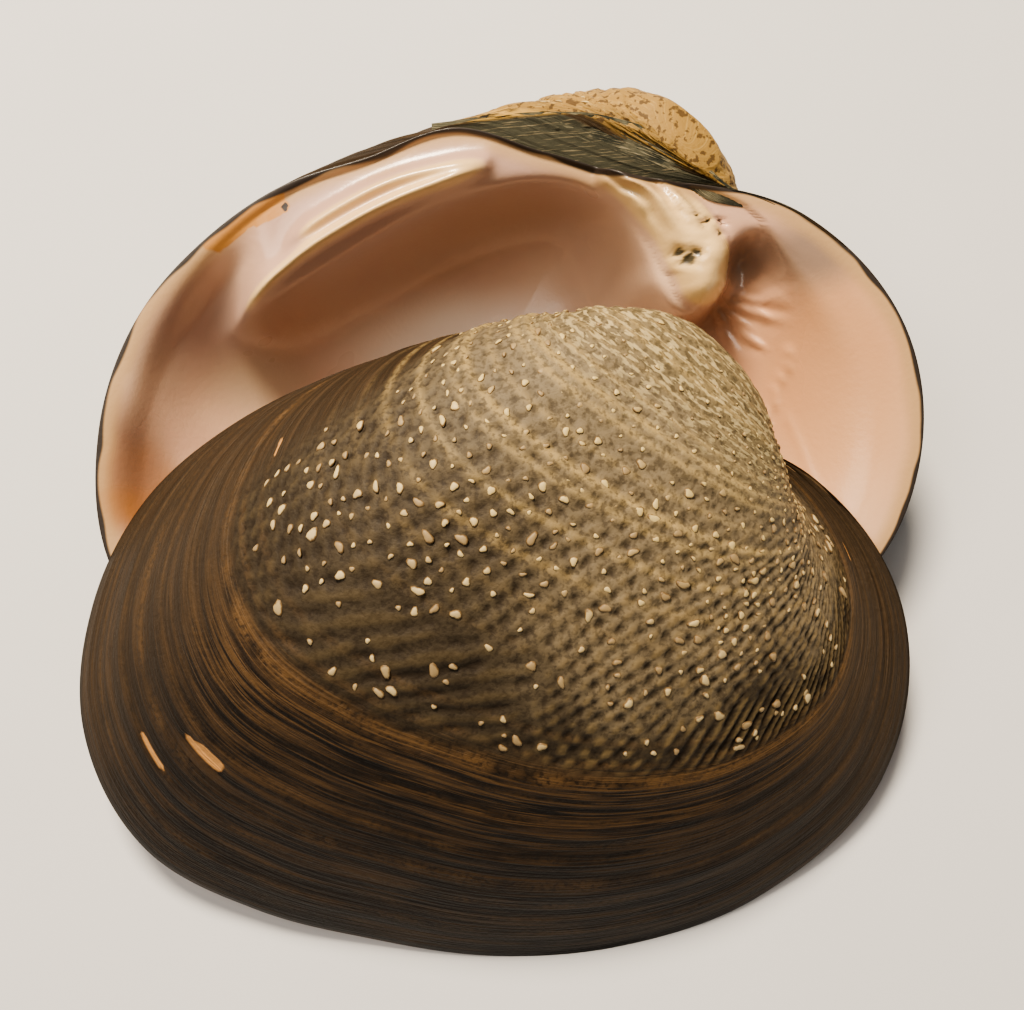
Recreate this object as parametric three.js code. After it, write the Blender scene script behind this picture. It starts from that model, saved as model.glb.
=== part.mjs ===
// Freshwater mussel shell, both halves of one animal: the left valve lies on its
// back with the inside up, the right valve leans over it with the outside up.
// Units are millimetres, +Z is up, the table is Z = 0.
import * as THREE from "three";

// ---------------------------------------------------------------- dimensions
// Shell edge, as radii every 20 degrees about EDGE_CENTRE, in the valve frame:
// x to the front end, y to the hinge, z out of the valve.
const EDGE_RADII = [61.8, 52.5, 38.4, 33.8, 33.9, 31.4, 32.9, 35.4, 39.4,
  43.4, 47.1, 47.8, 44.7, 43.2, 45.5, 50.3, 57.1, 63.0];
const EDGE_CENTRE = [-33, -34];
// Growth about the hinge axis: every growth line is the edge, shrunk and swung.
const AXIS_POINT = [5.55, -10.89];
const AXIS_TURN = -19.03 * Math.PI / 180;
const COIL = 0.93;            // shrink rate per radian of swing
const ALONG_POWER = 0.858;    // shrink along the axis
const LEAN = 0.406;           // turn of the beak towards the hinge, radians
const LEAN_POWER = 1.025;
const BEAK_SHIFT = [3.0, 5.3];
const BEAK_END = 0.07;        // smallest growth line that is kept
// Growth lines that are tried when the outside's height over a plan point is wanted
const SEARCH = { edge: 0.999, first: 0.98, end: 0.24, step: 0.02, halvings: 14 };
// Wall and hinge
const WALL_BACK = 3.0;        // vertical wall near the rear
const WALL_FRONT = 4.6;       // vertical wall near the front
const WALL_FROM_TO = [-50, 10];  // x over which the wall thickens
const WALL_BLEND = 1.1;       // roundness of the step from the rim into the hollow
const RIM_WIDTH = 3.5;        // flat rim along the edge
const PLATE_DEPTH = 0.7;      // hinge plate below the edge plane
const PLATE_SOFT = 1.2;       // half width of the plate's rounded edge
const PLATE_REAR = [-63, -52];   // x over which the plate begins
const RIDGE_REAR = [-1, 9];   // a ridge rises over this much of x at its rear end
const RIDGE_FRONT = [2, -4];  // and sinks over this much at its front end
const POLE_INSIDE = [-28, -44];
const LATERALS = [
  { path: [[-50, -12.7], [-42.5, -8.9], [-34.6, -6.2], [-23.5, -4.9]],
    height: 2.2, width: 1.4 },
  { path: [[-56.4, -19.4], [-49.6, -15], [-42.8, -11.4], [-34.9, -8.8], [-25, -7]],
    height: 3.2, width: 1.5 },
];
// The big tooth of each valve: a chain of circles, each with x, y and radius
const LEFT_CARDINAL = { chain: [[-8.4, -8.6, 1.5], [-4.4, -11, 2.9], [-0.2, -15.2, 3.9],
  [2, -19.6, 4.2], [2.4, -22.6, 3.4]], height: 3.7 };
const RIGHT_CARDINAL = { chain: [[-4, -12, 2.2], [-1.5, -16, 3], [-1, -19, 2.4]],
  height: 3 };
const CARDINAL_SLOPE = [-0.5, 3.6];
const RIGHT_LATERAL = { path: [[-53, -15.5], [-42.6, -10], [-25, -5.8]],
  height: 2.6, width: 1.6 };
const SCAR = { at: [9.6, -20.9], size: 3.4, depth: 2.6, above: [4, 8] };
const PLATE_EDGE = [[-66, -25], [-56, -20.9], [-48.6, -17.3], [-42, -14.2],
  [-35.4, -11.4], [-30, -9.8], [-20, -8.8], [-13.5, -9], [-9.4, -11],
  [-6.4, -14.6], [-4.6, -20], [-2, -26], [2.6, -27], [6.4, -23.6],
  [7.6, -19.4], [11, -16.6], [18, -17]];
// Ligament strip on the left hinge
const BAND = [[-30, -0.2], [-24, -0.7], [-18, -1.4], [-10.6, -2.6],
  [-4.4, -4.6], [0.8, -7.4], [4.6, -11.4], [8.6, -13.4]];
const BAND_HALF_WIDTH = [0.5, 1.1, 1.9, 2.4, 2.3, 2.1, 1.6, 0.7];
const BAND_THICK = 1.9;
const BAND_GAP = 0.35;
const BAND_BASE = 0.25;       // bulge of the strip's underside
const BAND_FULL = 1.6;        // half width from which the strip has its full thickness
const BAND_SIDES = 12;
// Where the two valves lie
const RIGHT_POSE = { a: 18.36, b: 2.72, g: 0, at: [23.28, 13.38, 23.88] };
const LEFT_POSE = { a: 23.51, b: 0.19, g: 6.95, at: [19.72, 41.60, 37.70] };
// Mesh density of each valve: the left one shows its hinge
const LEFT_MESH = { columns: 60, outer: 16, inner: 28 };
const RIGHT_MESH = { columns: 48, outer: 19, inner: 13 };
const COLUMN_START = 1.0;     // angle of the edge where the columns are closest, radians
const COLUMN_CROWD = 0.5;
const OUTER_CROWD = 1.1;      // rows crowd towards the beak
const INNER_CROWD = 1.25;     // and towards the rim
const INNER_REACH = 0.97;     // share of the way from the rim to POLE_INSIDE

// ------------------------------------------------------------------ geometry
const cosT = Math.cos(AXIS_TURN), sinT = Math.sin(AXIS_TURN);
const TAU = Math.PI * 2;
const clamp01 = (x) => Math.min(1, Math.max(0, x));
const smooth = (a, b, x) => {
  const t = clamp01((x - a) / (b - a));
  return t * t * (3 - 2 * t);
};

function edgeRadius(theta) {
  const n = EDGE_RADII.length;
  const t = (((theta / TAU) % 1) + 1) % 1 * n;
  const i = Math.floor(t), f = t - i;
  const r = (k) => EDGE_RADII[(i + k + n) % n];
  const [p, q, s, v] = [r(-1), r(0), r(1), r(2)];
  return 0.5 * (2 * q + (s - p) * f + (2 * p - 5 * q + 4 * s - v) * f * f
    + (3 * q - p - 3 * s + v) * f * f * f);
}

function edgePoint(theta) {
  const r = edgeRadius(theta);
  return [EDGE_CENTRE[0] + r * Math.cos(theta), EDGE_CENTRE[1] + r * Math.sin(theta)];
}

// growth line of size s: swing angle, shift along the axis, lean
function stage(s) {
  return {
    swing: -Math.log(s) / COIL,
    scale: Math.pow(s, ALONG_POWER),
    shift: BEAK_SHIFT[0] * Math.sqrt(s) * (1 - s) + BEAK_SHIFT[1] * (1 - s) ** 2,
    lean: LEAN * Math.pow(1 - s, LEAN_POWER),
  };
}

function outerPoint(theta, s) {
  const [x, y] = edgePoint(theta);
  const dx = x - AXIS_POINT[0], dy = y - AXIS_POINT[1];
  const along = dx * cosT + dy * sinT;
  const out = dx * sinT - dy * cosT;
  const g = stage(s);
  const a = along * g.scale - g.shift;
  const h = -out * s * Math.cos(g.swing);
  const z = out * s * Math.sin(g.swing);
  const c = Math.cos(g.lean), n = Math.sin(g.lean);
  const a2 = c * a + n * h, h2 = -n * a + c * h;
  return [AXIS_POINT[0] + a2 * cosT - h2 * sinT,
    AXIS_POINT[1] + a2 * sinT + h2 * cosT, z];
}

// how far inside growth line s the plan point (x, y) is; negative is outside
function insideStage(x, y, s) {
  const dx = x - AXIS_POINT[0], dy = y - AXIS_POINT[1];
  const a2 = dx * cosT + dy * sinT, h2 = -dx * sinT + dy * cosT;
  const g = stage(s);
  const c = Math.cos(g.lean), n = Math.sin(g.lean);
  const a = c * a2 - n * h2, h = n * a2 + c * h2;
  const along = (a + g.shift) / g.scale;
  const out = -h / (s * Math.cos(g.swing));
  const px = AXIS_POINT[0] + along * cosT + out * sinT - EDGE_CENTRE[0];
  const py = AXIS_POINT[1] + along * sinT - out * cosT - EDGE_CENTRE[1];
  return { gap: edgeRadius(Math.atan2(py, px)) - Math.hypot(px, py),
    z: out * s * Math.sin(g.swing) };
}

// height of the outside over plan point (x, y), by bisection between growth lines
function outerHeight(x, y) {
  let lo = SEARCH.edge;
  if (insideStage(x, y, lo).gap < 0) return 0;
  for (let s = SEARCH.first; s > SEARCH.end; s -= SEARCH.step) {
    if (insideStage(x, y, s).gap < 0) {
      let hi = s;
      for (let k = 0; k < SEARCH.halvings; k++) {
        const mid = (lo + hi) / 2;
        if (insideStage(x, y, mid).gap < 0) hi = mid; else lo = mid;
      }
      return insideStage(x, y, lo).z;
    }
    lo = s;
  }
  return insideStage(x, y, lo).z;
}

function alongSegment(p, a, b) {
  const vx = b[0] - a[0], vy = b[1] - a[1];
  const t = ((p[0] - a[0]) * vx + (p[1] - a[1]) * vy) / (vx * vx + vy * vy);
  const c = clamp01(t);
  const dx = p[0] - a[0] - c * vx, dy = p[1] - a[1] - c * vy;
  return { t, d: Math.hypot(dx, dy), side: Math.sign(vx * dy - vy * dx) };
}

// signed distance to the ventral edge of the hinge plate, positive on the plate
function onPlate(p) {
  let best = { d: 1e9, side: 1 };
  for (let i = 1; i < PLATE_EDGE.length; i++) {
    const q = alongSegment(p, PLATE_EDGE[i - 1], PLATE_EDGE[i]);
    if (q.d < best.d - 1e-9) best = q;
  }
  return best.d * best.side;
}

function ridge(p, tooth) {
  let d = 1e9;
  for (let i = 1; i < tooth.path.length; i++) {
    d = Math.min(d, alongSegment(p, tooth.path[i - 1], tooth.path[i]).d);
  }
  const rear = tooth.path[0][0], front = tooth.path[tooth.path.length - 1][0];
  const fade = smooth(rear + RIDGE_REAR[0], rear + RIDGE_REAR[1], p[0])
    * smooth(front + RIDGE_FRONT[0], front + RIDGE_FRONT[1], p[0]);
  return tooth.height * fade * Math.exp(-((d / tooth.width) ** 2));
}

// height of a tooth made of a chain of circles, joined by tapers
function cardinal(p, tooth) {
  let inside = -1e9;
  for (let i = 1; i < tooth.chain.length; i++) {
    const a = tooth.chain[i - 1], b = tooth.chain[i];
    const q = alongSegment(p, a, b);
    inside = Math.max(inside, a[2] + clamp01(q.t) * (b[2] - a[2]) - q.d);
  }
  return tooth.height * Math.sqrt(smooth(...CARDINAL_SLOPE, inside));
}

// height of the inside over plan point (x, y), rim being its distance from the edge
function innerHeight(x, y, rim, left) {
  const p = [x, y], outer = outerHeight(x, y);
  const wall = WALL_BACK + (WALL_FRONT - WALL_BACK) * smooth(...WALL_FROM_TO, x);
  const raw = outer - wall;
  const soft = (raw + Math.hypot(raw, 2 * WALL_BLEND)) / 2;
  let z = soft * smooth(0, RIM_WIDTH, rim);
  const reach = Math.hypot(x - SCAR.at[0], y - SCAR.at[1]) / SCAR.size;
  z += SCAR.depth * Math.exp(-(reach ** 2)) * smooth(...SCAR.above, outer);
  const plate = smooth(-PLATE_SOFT, PLATE_SOFT, onPlate(p)) * smooth(...PLATE_REAR, x);
  z = z * (1 - plate) + Math.min(z, PLATE_DEPTH) * plate;
  const laterals = left ? LATERALS : [RIGHT_LATERAL];
  for (const tooth of laterals) z -= ridge(p, tooth);
  return z - cardinal(p, left ? LEFT_CARDINAL : RIGHT_CARDINAL);
}

// columns are closer together along the hinge
function columnAngle(j, columns) {
  const t = j / columns * TAU;
  return COLUMN_START + t - COLUMN_CROWD * Math.sin(t);
}

function valveRings(left) {
  const { columns, outer, inner } = left ? LEFT_MESH : RIGHT_MESH;
  const rings = [];
  for (let i = 0; i < outer; i++) {
    const s = BEAK_END + (1 - BEAK_END) * Math.pow(i / (outer - 1), OUTER_CROWD);
    const ring = [];
    for (let j = 0; j < columns; j++) ring.push(outerPoint(columnAngle(j, columns), s));
    rings.push(ring);
  }
  for (let i = 1; i <= inner; i++) {
    const w = INNER_REACH * Math.pow(i / inner, INNER_CROWD);
    const ring = [];
    for (let j = 0; j < columns; j++) {
      const [mx, my] = edgePoint(columnAngle(j, columns));
      const dx = w * (POLE_INSIDE[0] - mx), dy = w * (POLE_INSIDE[1] - my);
      const x = mx + dx, y = my + dy;
      ring.push([x, y, innerHeight(x, y, Math.hypot(dx, dy), left)]);
    }
    rings.push(ring);
  }
  return rings;
}

function ringsToGeometry(rings, place) {
  const n = rings[0].length, pts = [], faces = [];
  const mean = (ring) => [0, 1, 2].map((k) => ring.reduce((a, p) => a + p[k], 0) / n);
  for (const ring of rings) for (const p of ring) pts.push(place(p));
  const first = pts.push(place(mean(rings[0]))) - 1;
  const last = pts.push(place(mean(rings[rings.length - 1]))) - 1;
  const id = (i, j) => i * n + (j % n);
  for (let j = 0; j < n; j++) {
    faces.push([first, id(0, j + 1), id(0, j)]);
    faces.push([last, id(rings.length - 1, j), id(rings.length - 1, j + 1)]);
    for (let i = 0; i + 1 < rings.length; i++) {
      faces.push([id(i, j), id(i, j + 1), id(i + 1, j + 1)]);
      faces.push([id(i, j), id(i + 1, j + 1), id(i + 1, j)]);
    }
  }
  let volume = 0;
  for (const [a, b, c] of faces) {
    volume += pts[a].dot(new THREE.Vector3().crossVectors(pts[b], pts[c])) / 6;
  }
  if (volume < 0) for (const f of faces) f.reverse();
  const geo = new THREE.BufferGeometry();
  geo.setAttribute("position",
    new THREE.Float32BufferAttribute(pts.flatMap((p) => [p.x, p.y, p.z]), 3));
  geo.setIndex(faces.flat());
  geo.computeVertexNormals();
  return geo;
}

function placer(pose, flip) {
  const rad = Math.PI / 180;
  const turn = new THREE.Matrix4().makeRotationFromEuler(
    new THREE.Euler(pose.a * rad, pose.b * rad, pose.g * rad, "ZYX"));
  const at = new THREE.Vector3(...pose.at);
  return (p) => {
    const v = new THREE.Vector3(p[0], p[1], flip ? -p[2] : p[2])
      .applyMatrix4(turn).add(at);
    v.z = Math.max(0, v.z);
    return v;
  };
}

// ligament: a lens-shaped strip that follows the hinge line on its inner side
function bandRings() {
  const rings = [];
  for (let i = 0; i < BAND.length; i++) {
    const a = BAND[Math.max(0, i - 1)], b = BAND[Math.min(BAND.length - 1, i + 1)];
    const len = Math.hypot(b[0] - a[0], b[1] - a[1]);
    const nx = -(b[1] - a[1]) / len, ny = (b[0] - a[0]) / len;
    const half = BAND_HALF_WIDTH[i], ring = [];
    const thick = BAND_THICK * Math.min(1, half / BAND_FULL);
    for (let j = 0; j < BAND_SIDES; j++) {
      const t = j / BAND_SIDES * TAU;
      const across = half * Math.cos(t);
      const up = Math.sin(t) * (Math.sin(t) > 0 ? thick : BAND_BASE);
      ring.push([BAND[i][0] + nx * across, BAND[i][1] + ny * across,
        -(BAND_GAP + BAND_BASE + up)]);
    }
    rings.push(ring);
  }
  return rings;
}

// ----------------------------------------------------------------- assembly
const left = placer(LEFT_POSE, true);
const right = placer(RIGHT_POSE, false);
const solids = [
  ["left_valve", ringsToGeometry(valveRings(true), left), 0xd9a890, 0.35],
  ["right_valve", ringsToGeometry(valveRings(false), right), 0x4a3a26, 0.55],
  ["ligament", ringsToGeometry(bandRings(), left), 0x2c3028, 0.8],
];
const box = new THREE.Box3();
for (const [, geo] of solids) {
  geo.computeBoundingBox();
  box.union(geo.boundingBox);
}
const centre = box.getCenter(new THREE.Vector3());
const group = new THREE.Group();
group.name = "mussel_shell";
for (const [name, geo, color, roughness] of solids) {
  geo.translate(-centre.x, -centre.y, 0);
  const mesh = new THREE.Mesh(geo,
    new THREE.MeshStandardMaterial({ name, color, roughness, metalness: 0 }));
  mesh.name = name;
  group.add(mesh);
}

export default group;
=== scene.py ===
"""A freshwater mussel shell. The left valve lies on its back with the inside up, and
the right valve leans over it with the outside up. Lengths are in millimetres until a
mesh is made."""
import math

import bpy
import numpy as np
from mathutils import Euler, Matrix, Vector


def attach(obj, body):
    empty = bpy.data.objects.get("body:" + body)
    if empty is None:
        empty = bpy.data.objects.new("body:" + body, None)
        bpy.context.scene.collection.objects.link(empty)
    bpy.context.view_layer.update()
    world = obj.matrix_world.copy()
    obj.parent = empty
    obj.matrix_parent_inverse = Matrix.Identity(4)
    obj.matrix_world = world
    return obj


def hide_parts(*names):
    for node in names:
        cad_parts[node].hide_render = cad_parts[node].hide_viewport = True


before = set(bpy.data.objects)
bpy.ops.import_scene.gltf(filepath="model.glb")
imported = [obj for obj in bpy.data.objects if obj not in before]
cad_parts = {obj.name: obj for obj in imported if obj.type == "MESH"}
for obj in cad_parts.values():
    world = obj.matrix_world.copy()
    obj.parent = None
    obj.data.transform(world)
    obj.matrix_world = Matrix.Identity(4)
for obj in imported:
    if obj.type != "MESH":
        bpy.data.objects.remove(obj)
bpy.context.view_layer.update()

MM = 0.001
TAU = 2 * math.pi

# ---- the shell's growth
# Shell edge, as radii every 20 degrees about EDGE_CENTRE, in the valve frame:
# x to the front end, y to the hinge, z out of the valve.
EDGE_RADII = np.array([61.8, 52.5, 38.4, 33.8, 33.9, 31.4, 32.9, 35.4, 39.4,
                       43.4, 47.1, 47.8, 44.7, 43.2, 45.5, 50.3, 57.1, 63.0])
EDGE_CENTRE = (-33.0, -34.0)
AXIS_POINT = (5.55, -10.89)
AXIS_TURN = math.radians(-19.03)
COIL = 0.93            # shrink rate per radian of swing
ALONG_POWER = 0.858    # shrink along the hinge axis
LEAN = 0.406           # turn of the beak towards the hinge, radians
LEAN_POWER = 1.025
BEAK_SHIFT = (3.0, 5.3)
BEAK_END = 0.07        # smallest growth line that is kept
POLE_INSIDE = (-28.0, -44.0)
GROWTH_LENGTH = 116.0  # along the valve from beak to edge, at full size
ZONE_END = 0.693       # growth line where the knobbly skin stops
ZONE_REAR = 186        # edge angle where it stops at the rear, degrees
ZONE_REAR_TURN = 62    # and how much further it reaches near the beak
ZONE_FRONT = (386, 352)    # edge angles over which it fades at the front

RIGHT_POSE = {"turn": (18.36, 2.72, 0.0), "at": (23.28, 13.38, 23.88)}
LEFT_POSE = {"turn": (23.51, 0.19, 6.95), "at": (19.72, 41.60, 37.70)}
SET_BACK = (0.666, 6.449)    # from the poses' origin to the middle of the footprint

# Columns round the edge with the angle where they are closest, rows of the outside with
# the growth lines that they are shared out between, and rows of the inside
RIGHT_MESH = {"columns": 392, "closest": 286, "outer": 224, "inner": 26,
              "share": (0, 0.12, 0.82, 1), "lines": (BEAK_END, 0.18, 0.71, 1)}
LEFT_MESH = {"columns": 400, "closest": 60, "outer": 84, "inner": 150,
             "share": (0, 0.55, 1, 1), "lines": (BEAK_END, 0.35, 1, 1)}
COLUMN_CROWD = 0.45
INNER_REACH = 0.97     # share of the way from the rim to POLE_INSIDE
INNER_CROWD = 1.15     # rows crowd towards the rim
# Growth lines that are tried when the outside's height over a plan point is wanted
SEARCH_EDGE, SEARCH_FIRST, SEARCH_END, SEARCH_STEP = 0.999, 0.98, 0.24, 0.02
SEARCH_HALVINGS = 14
HINGE_ANGLE = 95       # edge angle that the growth lines are cut open at, degrees


def smooth(a, b, x):
    """0 below a and 1 above b, or the other way round when a is the larger."""
    t = np.clip((x - a) / (b - a), 0, 1)
    return t * t * (3 - 2 * t)


def edge_radius(theta):
    """Radius of the edge, smooth through EDGE_RADII."""
    n = len(EDGE_RADII)
    t = (theta / TAU) % 1 * n
    i = np.floor(t).astype(int)
    f = t - i
    p, q, r, s = (EDGE_RADII[(i + k) % n] for k in (-1, 0, 1, 2))
    return 0.5 * (2 * q + (r - p) * f + (2 * p - 5 * q + 4 * r - s) * f ** 2
                  + (3 * q - p - 3 * r + s) * f ** 3)


def edge_point(theta):
    r = edge_radius(theta)
    return EDGE_CENTRE[0] + r * np.cos(theta), EDGE_CENTRE[1] + r * np.sin(theta)


def stage(s):
    """Swing, scale, shift along the axis and lean of growth line s."""
    shift = BEAK_SHIFT[0] * np.sqrt(s) * (1 - s) + BEAK_SHIFT[1] * (1 - s) ** 2
    return -np.log(s) / COIL, s ** ALONG_POWER, shift, LEAN * (1 - s) ** LEAN_POWER


def outer_point(theta, s):
    """Point of the outside on growth line s, before any relief."""
    c, n = math.cos(AXIS_TURN), math.sin(AXIS_TURN)
    x, y = edge_point(theta)
    dx, dy = x - AXIS_POINT[0], y - AXIS_POINT[1]
    along, out = dx * c + dy * n, dx * n - dy * c
    swing, scale, shift, lean = stage(s)
    a, h = along * scale - shift, -out * s * np.cos(swing)
    a2, h2 = np.cos(lean) * a + np.sin(lean) * h, np.cos(lean) * h - np.sin(lean) * a
    return np.stack([AXIS_POINT[0] + a2 * c - h2 * n, AXIS_POINT[1] + a2 * n + h2 * c,
                     out * s * np.sin(swing)], -1)


def inside_stage(x, y, s):
    """How far plan point (x, y) is inside growth line s, and the outside's height there."""
    c, n = math.cos(AXIS_TURN), math.sin(AXIS_TURN)
    dx, dy = x - AXIS_POINT[0], y - AXIS_POINT[1]
    a2, h2 = dx * c + dy * n, dy * c - dx * n
    swing, scale, shift, lean = stage(s)
    a, h = np.cos(lean) * a2 - np.sin(lean) * h2, np.sin(lean) * a2 + np.cos(lean) * h2
    along, out = (a + shift) / scale, -h / (s * np.cos(swing))
    px = AXIS_POINT[0] + along * c + out * n - EDGE_CENTRE[0]
    py = AXIS_POINT[1] + along * n - out * c - EDGE_CENTRE[1]
    return edge_radius(np.arctan2(py, px)) - np.hypot(px, py), out * s * np.sin(swing)


def outer_height(x, y):
    """Height of the outside over plan points (x, y), by bisection between growth lines."""
    lo, hi = np.full(x.shape, SEARCH_EDGE), np.full(x.shape, SEARCH_END)
    found = np.zeros(x.shape, bool)
    for s in np.arange(SEARCH_FIRST, SEARCH_END, -SEARCH_STEP):
        outside = inside_stage(x, y, s)[0] < 0
        hi = np.where(outside & ~found, s, hi)
        found |= outside
        lo = np.where(found, lo, s)
    for _ in range(SEARCH_HALVINGS):
        mid = (lo + hi) / 2
        outside = inside_stage(x, y, mid)[0] < 0
        hi, lo = np.where(outside & found, mid, hi), np.where(outside | ~found, lo, mid)
    height = inside_stage(x, y, lo)[1]
    return np.where(inside_stage(x, y, SEARCH_EDGE)[0] < 0, 0.0, height)


# ---- noise
CELLS = np.random.default_rng(11).random((256, 256)) * 2 - 1


def noise(x, y, salt=0):
    """Smooth noise from -1 to 1 with one cell per unit."""
    x, y = x + 37.3 * salt, y + 17.9 * salt
    i, j = np.floor(x).astype(int), np.floor(y).astype(int)
    u, v = smooth(0, 1, x - i), smooth(0, 1, y - j)
    corner = [[CELLS[(i + a) & 255, (j + b) & 255] for b in (0, 1)] for a in (0, 1)]
    low = corner[0][0] * (1 - u) + corner[1][0] * u
    high = corner[0][1] * (1 - u) + corner[1][1] * u
    return low * (1 - v) + high * v


def layered(x, y, salt=0):
    """Three sizes of noise in one, from -1 to 1."""
    return (noise(x, y, salt) + 0.5 * noise(2 * x, 2 * y, salt + 1)
            + 0.25 * noise(4 * x, 4 * y, salt + 2)) / 1.75


# ---- relief of the outside
# Golden growth lines: growth line, half width, strength
GOLD_LINES = [
    (0.120, .006, 0.8), (0.140, .004, 0.7), (0.160, .006, 0.9), (0.182, .005, 0.7),
    (0.205, .005, 0.7), (0.228, .005, 1.0), (0.242, .004, 0.9), (0.272, .004, 0.5),
    (0.300, .004, 0.6), (0.320, .005, 1.0), (0.335, .004, 0.8), (0.368, .004, 0.4),
    (0.394, .005, 0.9), (0.410, .004, 0.6), (0.446, .004, 0.6), (0.484, .005, 0.6),
    (0.520, .004, 0.3), (0.560, .004, 0.2), (0.640, .004, 0.3),
    (0.668, .004, 0.4), (0.693, .010, 1.0), (0.718, .004, 0.4), (0.750, .005, 0.4),
    (0.785, .004, 0.3), (0.806, .006, 0.4), (0.848, .009, 0.6), (0.885, .004, 0.4),
    (0.915, .005, 0.3), (0.942, .006, 0.4), (0.968, .004, 0.3),
]
PIT_SPACING = (2.45, 1.75)    # along and across the growth lines
CHIPS = [                     # growth line, edge angle, length, width, depth
    (0.883, 214.3, 7.2, 0.9, 0.30),
    (0.825, 221.8, 6.8, 1.6, 0.45),
    (0.640, 181.0, 3.6, 0.5, 0.10),
    (0.747, 365.0, 3.0, 0.45, 0.10),
]


def edge_columns(size):
    """Angles of the columns, closer together about one place of the edge."""
    t = np.arange(size["columns"]) / size["columns"] * TAU
    return math.radians(size["closest"]) - math.pi + t + COLUMN_CROWD * np.sin(t)


# Length round the edge at closely spaced angles, and the belly's place on it
FINE = np.linspace(0, TAU, 2881)
FINE_X, FINE_Y = edge_point(FINE)
LENGTH = np.concatenate([[0], np.cumsum(np.hypot(np.diff(FINE_X), np.diff(FINE_Y)))])
BELLY = np.interp(math.radians(275), FINE, LENGTH)


def open_angle(theta):
    """Edge angle in degrees, counted on from the hinge."""
    angle = np.degrees(theta) % 360
    return np.where(angle < HINGE_ANGLE, angle + 360, angle)


def skin_places(theta, s):
    """Distance along the growth line from the belly, growth distance, edge angle and turn."""
    along = np.interp(theta % TAU, FINE, LENGTH) - BELLY
    along = (along + LENGTH[-1] / 2) % LENGTH[-1] - LENGTH[-1] / 2
    return along * s, GROWTH_LENGTH * s, open_angle(theta), along / LENGTH[-1] * TAU


def angle_at(along, s):
    """Edge angle of a distance along growth line s from the belly."""
    return np.interp((along / s + BELLY) % LENGTH[-1], LENGTH, FINE)


def warp(along, grown, salt):
    """Slow wander of the pit pattern, in spacings."""
    return (0.55 * noise(along / 13, grown / 13, salt)
            + 0.18 * noise(along / 4, grown / 4, salt + 1))


def zone_mask(angle, s):
    """1 where the skin is knobbly."""
    rear = ZONE_REAR - ZONE_REAR_TURN * smooth(0.52, 0.25, s)
    return (smooth(ZONE_END + 0.004, ZONE_END - 0.030, s) * smooth(rear - 8, rear + 10, angle)
            * smooth(*ZONE_FRONT, angle))


def chip_mask(along, grown, angle):
    """Where the skin is chipped through, and how deep."""
    mask, depth = np.zeros(along.shape), np.zeros(along.shape)
    for s, at, length, width, deep in CHIPS:
        here = skin_places(np.array([math.radians(at)]), np.array([s]))
        da, dg = along - here[0][0], grown - here[1][0]
        r = np.hypot(da / (length / 2), (dg + 0.10 * da) / (width / 2))
        inside = smooth(1.25, 0.75, r) * (np.abs(angle - at) < 40)
        mask = np.maximum(mask, inside)
        depth = np.maximum(depth, deep * inside)
    return mask, depth


def line_wobble(along, k):
    """Slow wander of golden line k along its length."""
    return 0.0022 * noise(along / 9, along * 0 + k, 5)


def gold_mask(along, angle, s):
    """Strength of the golden growth lines, worn away in places."""
    mask = np.zeros(along.shape)
    for k, (line, width, strength) in enumerate(GOLD_LINES):
        broken = 0.62 + 0.75 * layered(along / 3.0, along * 0 + 3 * k, 8)
        if line < 0.45:
            broken = (broken + 0.35) * smooth(355, 290, angle)
        band = np.exp(-((s - line - line_wobble(along, k)) / width) ** 2)
        mask = np.maximum(mask, strength * np.clip(broken, 0, 1) * band)
    return mask


def pit_pattern(along, grown, angle, s):
    """Pits and the ridges between them: a staggered grid that turns to waves and rays."""
    warp_a, warp_g = warp(along, grown, 1), warp(along, grown, 3)
    q, p = along / PIT_SPACING[0] + warp_a, grown / PIT_SPACING[1] + warp_g
    grid = np.cos(TAU * q) * np.cos(math.pi * p)
    grid = grid + 0.75 * layered(along / 1.8, grown / 1.4, 6)
    slant = smooth(285, 262, angle) * smooth(206, 226, angle) * smooth(0.54, 0.60, s)
    rays = smooth(292, 312, angle) * smooth(0.56, 0.63, s)
    slant_wave = np.cos(TAU * (along / 4.2 + grown / 3.0 + 1.1 * warp_g))
    slant_wave = 0.7 * slant_wave + 0.8 * noise(along / 1.9, grown / 1.9, 14)
    ray_wave = np.cos(TAU * (along / 1.7 + grown / 8 + 0.8 * warp_a))
    ray_wave = ray_wave + 0.9 * noise(along / 1.2, grown / 2.2, 15)
    wave = grid * (1 - slant) * (1 - rays) + slant_wave * slant + ray_wave * rays * (1 - slant)
    return smooth(0.20, 1.0, wave), smooth(-0.1, -0.9, wave)


def growth_steps(along, angle, s):
    """Raised lip just inside each golden growth line."""
    steps = np.zeros(along.shape)
    for k, (line, width, strength) in enumerate(GOLD_LINES):
        beyond = s - line - line_wobble(along, k)
        rise = smooth(-width, width * 0.6, beyond)
        steps = steps + strength * rise * smooth(4 * width, width, beyond)
    return steps * (0.13 + 0.30 * smooth(0.45, 0.38, s) * smooth(350, 290, angle))


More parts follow.
